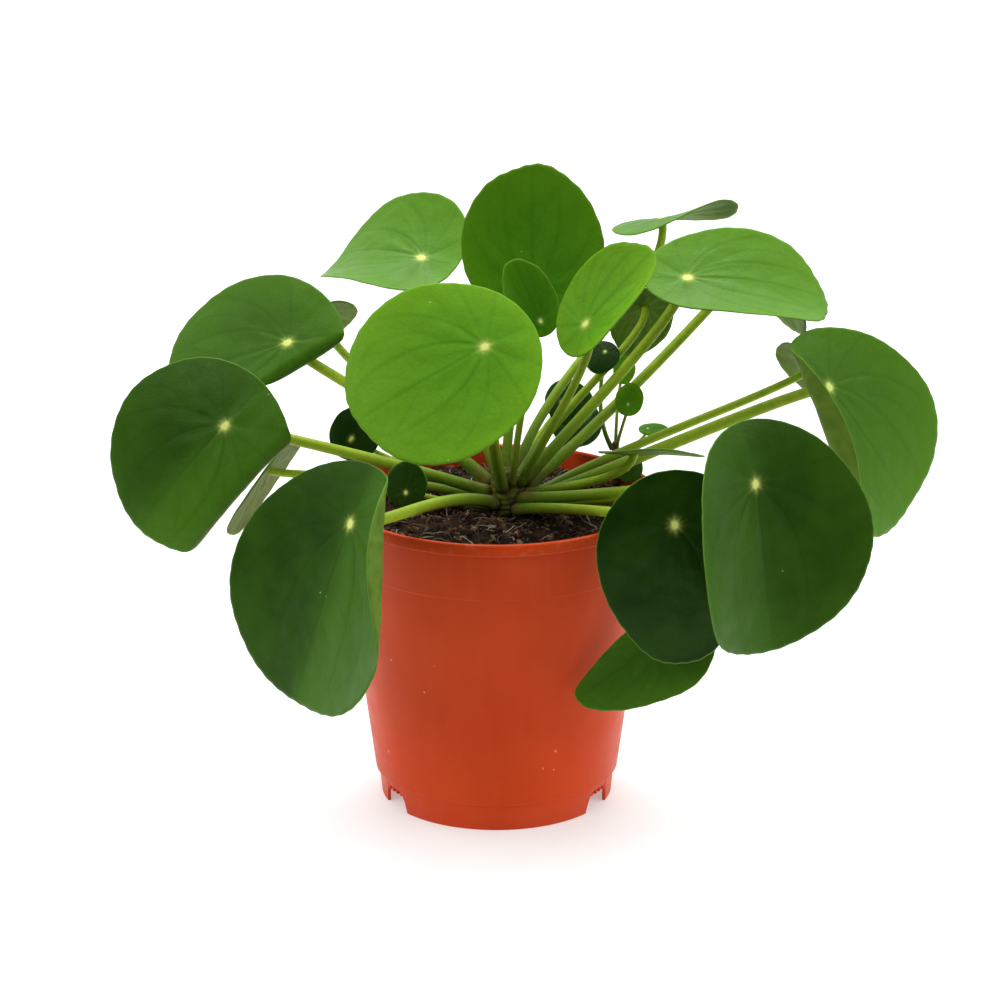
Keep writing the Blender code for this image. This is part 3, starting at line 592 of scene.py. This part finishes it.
def blade_surface(leaf, s, t, raised):
    """Flat blade bent by droop along its length, then by fold and hem across it, turned by twist
    along it, and raised off that surface by the given heights.  Hem adds its angle, eased as
    p^2 (3 - 2 p), over its breadth."""
    length, width = leaf["size"]
    back = leaf["set"]
    tip_bend, back_bend = np.radians(leaf["droop"])
    right_bend, left_bend = np.radians(leaf["fold"])
    twist = np.radians(leaf.get("twist", 0.0))
    side, start, breadth, extra, lead = leaf.get("hem", (1, 0, 10, 0, 0))

    def droop(d):
        return d * np.where(d > 0, tip_bend / ((1.0 - back) * length), back_bend / (back * length))

    def fold(d):
        p = np.clip((d * side - start - lead * s[..., None]) / breadth, 0.0, 1.0)
        hem = side * np.radians(extra) * p * p * (3.0 - 2.0 * p)
        return d * np.where(d > 0, right_bend, left_bend) / (width / 2.0) + hem * (d * side > 0)

    forward, down, tilt = path_along(s, droop)
    sideways, sink, lean = path_along(t, fold)
    tilt, lean, roll = tilt[..., None], lean[..., None], (twist * s / length)[..., None]
    along, across, normal = leaf_axes(leaf)
    local = np.cos(tilt) * normal + np.sin(tilt) * along
    rolled = np.cos(roll) * across + np.sin(roll) * local
    up = np.cos(roll) * local - np.sin(roll) * across
    out = np.cos(lean) * up + np.sin(lean) * rolled
    return (np.array(leaf["hub"], float) + forward[..., None] * along - down[..., None] * normal
            + sideways[..., None] * rolled - sink[..., None] * up + raised[..., None] * out)


PLAIN_TONE = 0.2         # of a leaf that names none
PLEAT_DEPTH, LUMP_DEPTH, VEIN_DEPTH = 0.10, 0.14, 0.12      # millimetres
BILLOW = 0.5             # of the margin in millimetres, of a leaf that names no wave
STAR_CORE, STAR_HALO, STAR_RAYS = 0.85, 2.3, 3.4            # reach from the hub, in millimetres
RIM_GLOW, RIM_START = 0.75, 0.3     # share of the tone, and of the way out where it starts


def blade_mesh(leaf, name, rings, sectors, under_rings):
    """Closed blade: upper sheet with sunken veins and fine pleats, rounded margin, lower sheet
    with raised veins.  Carries vein, star, margin, under, rim and tone for the finish; the tone
    also holds the painted sheen that some blades add on one half."""
    a = np.arange(sectors) * 2.0 * np.pi / sectors
    top_r = np.linspace(0.0, 1.0, rings + 1)[1:, None]
    low_r = np.linspace(0.0, 1.0, under_rings + 1)[1:, None]
    width = leaf["size"][1]
    seed = float(sum(map(ord, leaf["name"])))
    half = BLADE_THICK / 2.0
    base_tone = leaf.get("tone", PLAIN_TONE)
    sheets = []
    for share, side in ((low_r, -1.0), (top_r[::-1], 1.0)):
        s, t = blade_flat(leaf, share, a)
        vein = vein_map(leaf, s, t)
        edge = np.sqrt(np.clip((1.0 - share) * width / 2.0 / 0.8, 0.0, 1.0))
        thick = half * (0.35 + 0.65 * edge)
        far = np.hypot(s, t)
        scale = min(1.0, width / FULL_GROWN)
        pleat = (PLEAT_DEPTH * scale * np.sin(9.0 * a + seed + 0.06 * far)
                 * share * (1.0 - share) * 4.0)
        billow = leaf.get("wave", BILLOW) * share ** 2 * np.sin(3.0 * a + seed)
        relief = (pleat + billow + LUMP_DEPTH * scale * lumps(s, t, 4.5, int(seed))
                  - VEIN_DEPTH * scale * vein)
        points = blade_surface(leaf, s, t, side * thick + relief)
        core = np.exp(-(np.hypot(s * 0.7, t) / (STAR_CORE * scale)) ** 2)
        halo = 0.3 * np.exp(-(np.hypot(s * 0.7, t) / (STAR_HALO * scale)) ** 2)
        star = core + halo + 0.3 * vein * np.exp(-(far / (STAR_RAYS * scale)) ** 1.5)
        margin = (1.0 - share) * width / 2.0 * np.ones_like(s)
        sheets.append((points, vein, np.clip(star, 0, 1), margin, np.full_like(s, 0.5 - 0.5 * side)))
    low, top = sheets
    zero = np.zeros(1)
    hub_low = blade_surface(leaf, zero, zero, np.full(1, -half))[0]
    hub_top = blade_surface(leaf, zero, zero, np.full(1, half))[0]
    mesh = closed_body(name, hub_low, np.concatenate([low[0], top[0]]), hub_top)
    ends = {"vein": (1, 1), "star": (1, 1), "margin": (width / 2, width / 2), "under": (1, 0)}
    for column, (key, (first, last)) in enumerate(ends.items(), start=1):
        values = np.concatenate([[first], low[column].ravel(), top[column].ravel(), [last]])
        mesh.attributes.new(key, "FLOAT", "POINT").data.foreach_set("value", values)
    tone = mesh.attributes.new("tone", "FLOAT", "POINT")
    # painted sheen: lighter tone added to one half of a folded blade, for the light that side takes
    right_sheen, left_sheen = leaf.get("halves", (0.0, 0.0))
    across = np.concatenate([[0.0], *(blade_flat(leaf, r, a)[1].ravel() for r in (low_r, top_r[::-1])),
                             [0.0]])
    reach = np.concatenate([[0.0], *(np.repeat(r, sectors) for r in (low_r, top_r[::-1])), [0.0]])
    rim = (RIM_GLOW * base_tone
           * np.clip((reach - RIM_START) / (1.0 - RIM_START), 0.0, 1.0) ** 1.5)
    mesh.attributes.new("rim", "FLOAT", "POINT").data.foreach_set("value", rim)
    half_share = 0.5 + 0.5 * np.tanh(across / 5.0)
    tone.data.foreach_set("value", base_tone + right_sheen * half_share
                          + left_sheen * (1.0 - half_share))
    return mesh


def leaf_skin(name, dark, light, glow, under, vein_share):
    """Living leaf: deep green with lighter clouds, dark sunken veins, a pale star at the hub, a
    thin yellow-green margin, tiny pale specks, a satin upper side and a matt paler underside."""
    f = Finish(name, 0.4)
    lower = f.carried("under")
    vein = f.carried("vein")
    cloud = f.ease(f.noise(55.0, 4.0), 0.32, 0.68)
    # the tone carries each leaf's own green and, on some blades, a painted sheen on one half
    tint = f.blend(f.carried("tone"), dark, light)
    tint = f.blend(f.times(cloud, 0.12), tint, light)
    tint = f.blend(f.carried("rim"), tint, glow)
    mottle = f.ease(f.cells(340.0, "Distance", "DISTANCE_TO_EDGE"), 0.0, 0.12, 1.0, 0.0)
    tint = f.blend(f.times(mottle, 0.35 * vein_share), tint, dark)
    tint = f.blend(f.times(vein, vein_share), tint, dark)
    speck = f.times(f.ease(f.cells(150.0), 0.03, 0.055, 1.0, 0.0),
                    f.ease(f.noise(75.0, 1.0), 0.56, 0.6))
    tint = f.blend(f.times(speck, 0.8), tint, (0.42, 0.55, 0.25))
    back = f.blend(f.ease(f.noise(140.0, 3.0), 0.3, 0.7), under,
                   tuple(0.72 * c for c in under))
    back = f.blend(f.times(vein, 0.6), back, tuple(min(1.0, 1.5 * c) for c in under))
    tint = f.blend(lower, tint, back)
    star = f.ease(f.times(f.carried("star"), f.ease(f.noise(900.0, 2.0), 0.2, 0.6, 0.75, 1.2)),
                  0.0, 0.9)
    tint = f.blend(f.times(star, f.times(1.0, lower, "SUBTRACT")), tint, (0.70, 0.78, 0.20))
    edge = f.ease(f.carried("margin"), 0.05, 0.45, 0.6, 0.0)
    tint = f.blend(edge, tint, (0.13, 0.28, 0.03))
    f.colour(tint)
    gloss = f.ease(f.noise(160.0, 3.0), 0.3, 0.7, 0.33, 0.45)
    f.put(f.shader.inputs["Roughness"], f.ease(lower, 0.0, 1.0, gloss, 0.62))
    f.gloss(0.11, (0.75, 1.0, 0.6))
    skin = f.blend(0.45, f.noise(1100.0, 3.0), f.noise(260.0, 3.0))
    f.relief(skin, 0.3, 0.7)
    return f.material


OLD_LEAF = leaf_skin("leaf_green", (0.006, 0.027, 0.001), (0.080, 0.215, 0.014),
                     (0.10, 0.25, 0.012), (0.12, 0.22, 0.025), 0.2)
YOUNG_LEAF = leaf_skin("leaf_young", (0.018, 0.120, 0.003), (0.110, 0.30, 0.010),
                       (0.16, 0.36, 0.010), (0.20, 0.33, 0.03), 0.3)
YOUNG_NAMES = ("centre", "top", "young_mid", "young_right")
for leaf in LEAVES:
    young = leaf["name"] in YOUNG_NAMES
    blade = place(blade_mesh(leaf, "blade_" + leaf["name"], BLADE_RINGS, BLADE_SECTORS, UNDER_RINGS),
                  YOUNG_LEAF if young else OLD_LEAF)
    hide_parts("leaf_" + leaf["name"])

# ---------------------------------------------------------------------------------------------
# Stalks: smooth, round and fleshy, yellow-green with painted shade darkening them towards the stem,
# browner at the foot where they leave the stem and a little wider where they meet the blade.
# ---------------------------------------------------------------------------------------------
STALK_SIDES, STALK_STEPS = 16, 40
STEM_GAP = 0.1


def cubic(start, first, second, end, steps):
    """Bezier curve of four points, at steps + 1 even values of its parameter."""
    t = np.linspace(0.0, 1.0, steps + 1)[:, None]
    return ((1 - t) ** 3 * start + 3 * (1 - t) ** 2 * t * first
            + 3 * (1 - t) * t * t * second + t ** 3 * end)


def stalk_path(leaf, at, outline, steps):
    """Curve from the stem's side to the underside of the hub, leaving the stem at its rise and
    meeting the blade squarely; one that hangs over the lip passes a point above it, level."""
    azimuth, height, rise = leaf["root"]
    azimuth, rise = np.radians(azimuth), np.radians(rise)
    radius = np.interp(height, [p[1] for p in outline], [p[0] for p in outline])
    reach = radius + STEM_GAP
    outward = np.array([np.cos(azimuth), np.sin(azimuth), 0.0])
    start = np.array([*at, height]) + reach * outward
    leave = outward * np.cos(rise) + np.array([0.0, 0.0, np.sin(rise)])
    normal = leaf_axes(leaf)[2]
    end = np.array(leaf["hub"], float) - 0.25 * normal
    span = np.linalg.norm(end - start)
    second = end - normal * span * leaf.get("arrive", 0.2)
    if "over" not in leaf:
        return cubic(start, start + leave * span * 0.35, second, end, steps)
    over = np.array(leaf["over"], float)
    level = np.array([end[0] - start[0], end[1] - start[1], 0.0])
    level /= np.linalg.norm(level)
    near, far = 0.35 * np.linalg.norm(over - start), 0.4 * np.linalg.norm(end - over)
    inner = cubic(start, start + leave * near, over - level * near, over, steps // 2)
    outer = cubic(over, over + level * far, second, end, steps - steps // 2)
    return np.concatenate([inner, outer[1:]])


def tube(path, radius, sides):
    """Rings of the given radii round a path, in frames that turn as little as they can."""
    tangent = np.gradient(path, axis=0)
    tangent /= np.linalg.norm(tangent, axis=1, keepdims=True)
    side = np.cross(tangent[0], [0.3, 0.2, 0.9])
    sides_along = []
    for direction in tangent:
        side = side - direction * (side @ direction)
        side = side / np.linalg.norm(side)
        sides_along.append(side)
    first = np.array(sides_along)
    second = np.cross(tangent, first)
    a = np.arange(sides) * 2.0 * np.pi / sides
    ring = np.cos(a)[:, None] * first[:, None] + np.sin(a)[:, None] * second[:, None]
    return path[:, None] + radius[:, None, None] * ring


def stalk_mesh(leaf, at, outline, name, sides, steps):
    path = stalk_path(leaf, at, outline, steps)
    u = np.linspace(0.0, 1.0, len(path))
    swell = 1.12 - 0.22 * u + 0.22 * np.exp(-u / 0.035) + 0.16 * np.exp(-(1.0 - u) / 0.03)
    rings = tube(path, leaf["stalk"] * swell, sides)
    mesh = closed_body(name, path[0], rings, path[-1])
    length = np.concatenate([[0.0], np.repeat(u, sides), [1.0]])
    mesh.attributes.new("along", "FLOAT", "POINT").data.foreach_set("value", length)
    return mesh


def stalk_skin():
    """Fleshy stalk: brown-green foot, with painted shade in deep green reaching halfway up, yellow-green
    length with fine streaks, paler top.
    """
    f = Finish("stalk_green", 0.42)
    along = f.carried("along")
    streak = f.noise(420.0, 3.0)
    # painted shade: the stalk darkens to deep green towards the stem, for the shade among the stalks at the
    # crown
    tint = f.blend(f.ease(along, 0.0, 0.55), (0.065, 0.13, 0.008), (0.32, 0.45, 0.025))
    tint = f.blend(f.ease(along, 0.55, 1.0), tint, (0.38, 0.52, 0.04))
    tint = f.blend(f.ease(streak, 0.4, 0.7, 0.0, 0.4), tint, (0.16, 0.27, 0.02))
    foot = f.times(f.ease(along, 0.0, 0.13, 1.0, 0.0), f.ease(f.noise(260.0, 3.0), 0.25, 0.6))
    tint = f.blend(f.times(foot, 0.8), tint, (0.13, 0.075, 0.03))
    f.colour(tint)
    f.gloss(0.2, (0.8, 1.0, 0.5))
    f.relief(f.noise(700.0, 2.0), 0.08, 0.5)
    return f.material


STALK_SKIN = stalk_skin()
for leaf in LEAVES:
    stalk = place(stalk_mesh(leaf, CROWN, STEM_RINGS, "petiole_" + leaf["name"], STALK_SIDES,
                             STALK_STEPS), STALK_SKIN)
    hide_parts("stalk_" + leaf["name"])

# ---------------------------------------------------------------------------------------------
# Small low leaves: three thin-stalked leaves near the soil, made like the large ones.
# ---------------------------------------------------------------------------------------------
SMALL_LEAVES = [
    dict(name="low_left", hub=(-33, -21, 124), face=(-10, 15), tip=180, size=(18, 16),
         set=0.32, droop=(10, 10), fold=(10, 10), root=(206, 113.5, 12), stalk=1.0, wave=0.1,
         tone=0.0),
    dict(name="dark_left", hub=(-55, 40, 125), face=(-20, 30), tip=160, size=(24, 22),
         set=0.35, droop=(20, 10), fold=(10, 10), root=(148, 113.2, 12), stalk=1.0, wave=0.1,
         tone=0.0),
    dict(name="back_dark", hub=(25, 36, 141), face=(10, 40), tip=90, size=(20, 20),
         set=0.35, droop=(20, 10), fold=(10, 10), root=(87, 115.5, 24), stalk=1.0, wave=0.1,
         tone=0.0),
]
SMALL_RINGS, SMALL_SECTORS, SMALL_UNDER = 22, 96, 10
SMALL_SIDES, SMALL_STEPS = 10, 24


def small_leaf(leaf, at, outline, node, skin=OLD_LEAF):
    """Blade and thin stalk of a small leaf, in place of the solid that holds both, which is hidden."""
    blade = place(blade_mesh(leaf, "blade_" + leaf["name"], SMALL_RINGS, SMALL_SECTORS, SMALL_UNDER),
                  skin)
    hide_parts(node)
    stalk = place(stalk_mesh(leaf, at, outline, "petiole_" + leaf["name"], SMALL_SIDES,
                             SMALL_STEPS), STALK_SKIN)


for leaf in SMALL_LEAVES:
    small_leaf(leaf, CROWN, STEM_RINGS, "leaf_" + leaf["name"])

# ---------------------------------------------------------------------------------------------
# Side shoot: a thin red-brown stem that comes up at the back right of the pot, with a tuft of
# five small leaves.
# ---------------------------------------------------------------------------------------------
SHOOT_AT = (45.0, 32.0)
SHOOT_RINGS = [(1.8, 110.1), (1.6, 116.1), (1.3, 126.5)]
SHOOT_LEAVES = [
    dict(name="shoot_dark_mid", hub=(40, 11, 168), face=(0, 50), tip=-30, size=(15, 13),
         set=0.35, droop=(20, 10), fold=(10, 10), root=(200, 124, 60), stalk=0.8, wave=0.1,
         tone=0.0),
    dict(name="shoot_rim_right", hub=(49, 18, 120), face=(20, 40), tip=150, size=(14, 12),
         set=0.35, droop=(20, 10), fold=(10, 10), root=(290, 113, 15), stalk=0.7, wave=0.1,
         tone=0.2),
    dict(name="shoot_high", hub=(48, 38, 152), face=(15, 20), tip=170, size=(13, 9),
         set=0.35, droop=(5, 5), fold=(5, 5), root=(90, 125, 70), stalk=0.6, wave=0.1, tone=1.0),
    dict(name="shoot_round", hub=(49, 17, 146), face=(-10, 20), tip=170, size=(13, 11),
         set=0.35, droop=(5, 5), fold=(5, 5), root=(280, 125, 55), stalk=0.6, wave=0.1, tone=1.0),
    dict(name="shoot_side", hub=(57, 34, 131), face=(0, 70), tip=90, size=(12, 8),
         set=0.30, droop=(5, 5), fold=(5, 5), root=(0, 121, 35), stalk=0.6, wave=0.1, tone=0.6),
]

shoot_low, shoot_high = (*SHOOT_AT, 110.1), (*SHOOT_AT, 127.0)
shoot_stem = place(closed_body("shoot_twig", shoot_low, stem_rings(SHOOT_AT, SHOOT_RINGS, 0.15, 2.6, 20),
                               shoot_high),
                   bark("shoot_bark", (0.16, 0.035, 0.020), (0.10, 0.050, 0.022), 300.0))
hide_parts("shoot_stem")
# the high tone and young finish of the upper shoot leaves are partly their young colour and partly painted
# light shining through these thin leaves
for leaf in SHOOT_LEAVES:
    small_leaf(leaf, SHOOT_AT, SHOOT_RINGS, leaf["name"].replace("shoot_", "shoot_leaf_"),
               YOUNG_LEAF if leaf["tone"] > 0.5 else OLD_LEAF)

# ---------------------------------------------------------------------------------------------
# Studio: a white floor, soft lights on both sides and behind, and the camera in front, a little
# above the plant and looking down on it.
# ---------------------------------------------------------------------------------------------
floor_mesh = bpy.data.meshes.new("floor")
floor_mesh.from_pydata([(-5, -0.23, 0), (5, -0.23, 0), (5, 12, 0), (-5, 12, 0)], [], [(0, 1, 2, 3)])
floor_finish = Finish("floor_white", 0.8)
floor_finish.colour((0.68, 0.68, 0.68))
floor_finish.put(floor_finish.shader.inputs["Emission Color"], (1.0, 1.0, 1.0, 1.0))
floor_finish.put(floor_finish.shader.inputs["Emission Strength"], 0.36)
floor_mesh.materials.append(floor_finish.material)
floor = bpy.data.objects.new("floor", floor_mesh)
bpy.context.scene.collection.objects.link(floor)

world = bpy.data.worlds.new("studio")
world.use_nodes = True
backdrop = world.node_tree.nodes["Background"]
backdrop.inputs["Color"].default_value = (1.0, 1.0, 1.0, 1.0)
sky = world.node_tree.nodes.new("ShaderNodeTexCoord")
upward = world.node_tree.nodes.new("ShaderNodeVectorMath")
upward.operation = "DOT_PRODUCT"
upward.inputs[1].default_value = (0.0, 0.35, 0.94)
glow = world.node_tree.nodes.new("ShaderNodeMapRange")
for socket, value in ((1, -0.1), (2, 0.9), (3, 0.10), (4, 1.45)):
    glow.inputs[socket].default_value = value
world.node_tree.links.new(sky.outputs["Generated"], upward.inputs[0])
world.node_tree.links.new(upward.outputs["Value"], glow.inputs[0])
world.node_tree.links.new(glow.outputs[0], backdrop.inputs["Strength"])
bpy.context.scene.world = world


def softbox(name, place, target, size, power):
    """Square area light at a place, turned towards a target (metres, watts)."""
    light = bpy.data.lights.new(name, "AREA")
    light.size = size
    light.energy = power
    lamp = bpy.data.objects.new(name, light)
    lamp.location = place
    aim = np.array(target) - np.array(place)
    lamp.rotation_euler = (np.arctan2(np.hypot(aim[0], aim[1]), -aim[2]), 0.0,
                           np.arctan2(-aim[0], aim[1]))
    bpy.context.scene.collection.objects.link(lamp)


softbox("key_left", (-1.5, -1.0, 1.4), (0, 0, 0.12), 0.8, 14.0)
softbox("fill_right", (1.7, -0.5, 1.1), (0, 0, 0.12), 0.7, 11.0)
softbox("top_back", (0.1, 0.9, 1.9), (0, 0, 0.15), 1.2, 26.0)

PITCH = 18.515
camera_data = bpy.data.cameras.new("camera")
camera_data.sensor_width = 36.0
camera_data.lens = 143.46
camera_data.clip_end = 60.0
camera = bpy.data.objects.new("camera", camera_data)
camera.location = (np.array([1.3, -1400.0, 583.0]) + POT_AXIS) * MM
camera.rotation_euler = (np.radians(90.0 - PITCH), 0.0, 0.0)
bpy.context.scene.collection.objects.link(camera)
bpy.context.scene.camera = camera
bpy.context.scene.view_settings.view_transform = "Standard"
